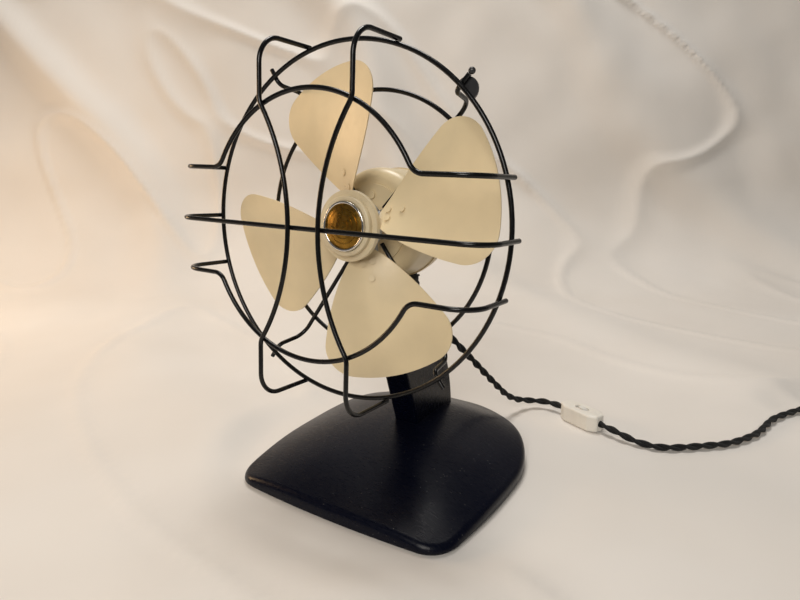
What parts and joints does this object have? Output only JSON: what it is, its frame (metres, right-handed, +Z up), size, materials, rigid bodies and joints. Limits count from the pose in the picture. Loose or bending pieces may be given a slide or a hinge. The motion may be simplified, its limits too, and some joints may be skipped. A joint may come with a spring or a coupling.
{
  "type": "desk fan",
  "caption": "Small caged desk fan on a crowned base with a leaning post, a tilting motor head and an inline switch on its cord.",
  "frame": {"origin": "on the table under the middle of the base", "axes": "+Z up, -Y the way the fan blows, +X the fan's left as seen from behind its front"},
  "size_m": [0.6019, 0.5296, 0.3779],
  "materials": {
    "base_enamel": "glossy near-black navy enamel with dust and fine scratches",
    "post_enamel": "glossy near-black navy enamel",
    "zinc_plate": "dull zinc plate",
    "foot_rubber": "matt black rubber",
    "screw_steel": "plated steel",
    "black_screw": "blackened steel",
    "cream_enamel": "satin cream enamel",
    "lamination_steel": "stacked sheet edges",
    "copper_winding": "varnished enamelled wire",
    "bearing_bronze": "sintered bronze",
    "wick_felt": "oiled felt",
    "black_wire": "glossy black enamel on wire",
    "grey_tab": "dark grey with a black ball end",
    "ground_steel": "ground",
    "washer_fibre": "red-brown fibre",
    "boss_aluminium": "turned",
    "blade_enamel": "satin ivory enamel",
    "cream_cap": "moulded cream plastic",
    "gold_badge": "turned gold-coloured metal",
    "chrome_rim": "polished",
    "cord_rubber": "moulded",
    "cord_cloth": "two cloth-covered strands twisted together",
    "tie_black": "soft strap",
    "switch_plastic": "off-white moulding",
    "wheel_plastic": "white moulding",
    "contact_brass": "bright",
    "plug_rubber": "moulded black"
  },
  "bodies": {
    "base": {"base_shell": "base_enamel", "base_bottom_cover": "zinc_plate", "base_pad": "foot_rubber", "cover_screws": "screw_steel", "post": "post_enamel", "post_bolts": "screw_steel", "cord_upper": "cord_cloth", "cord_floor": "cord_cloth", "cord_coil": "cord_cloth", "cord_tie": "tie_black", "cord_tail": "cord_cloth", "switch_upper_shell": "switch_plastic", "switch_lower_shell": "switch_plastic", "switch_screws": "screw_steel", "switch_contacts": "contact_brass", "plug_body": "plug_rubber", "plug_blades": "contact_brass", "pivot_screws": "black_screw", "clamp_screws": "black_screw"},
    "head": {"bracket_screws": "black_screw", "cord_grommet": "cord_rubber", "front_bearing_sleeve": "bearing_bronze", "guard_mount_plate": "cream_enamel", "guard_plate_screws": "cream_enamel", "guard_rear_ring": "black_wire", "guard_ring": "black_wire", "guard_spokes": "black_wire", "guard_tab": "grey_tab", "guard_wire_left_bow": "black_wire", "guard_wire_lower_arch": "black_wire", "guard_wire_middle": "black_wire", "guard_wire_right_bow": "black_wire", "guard_wire_upper_arch": "black_wire", "motor_bracket": "post_enamel", "motor_front_bell": "cream_enamel", "motor_rear_shell": "cream_enamel", "oil_wicks": "wick_felt", "rear_bearing_sleeve": "bearing_bronze", "stator_coils": "copper_winding", "stator_core": "lamination_steel", "through_bolts": "screw_steel"},
    "rotor": {"motor_shaft": "ground_steel", "rotor_core": "lamination_steel", "thrust_washers": "washer_fibre", "hub_boss": "boss_aluminium", "set_screw": "screw_steel", "blade_spider": "zinc_plate", "blade_rivets": "blade_enamel", "blade_1": "blade_enamel", "blade_2": "blade_enamel", "blade_3": "blade_enamel", "blade_4": "blade_enamel", "hub_cap": "cream_cap", "badge": "gold_badge", "badge_bezel": "chrome_rim"},
    "switch_wheel_body": {"switch_wheel": "wheel_plastic"}
  },
  "joints": [
    {"name": "head_tilt", "type": "hinge", "parent": "base", "child": "head", "pos_m": [0, -0.0315, 0.1586], "axis": [-1, 0, 0], "range_deg": [-10, 10], "deforming": ["cord_upper"]},
    {"name": "rotor_spin", "type": "hinge", "parent": "head", "child": "rotor", "pos_m": [0, -0.081, 0.239], "axis": [0, -0.9969, 0.0785], "continuous": true},
    {"name": "switch_wheel_turn", "type": "hinge", "parent": "base", "child": "switch_wheel_body", "pos_m": [0.12675, 0.16805, 0.012], "axis": [0.4059, 0.9139, 0], "continuous": true}
  ]
}
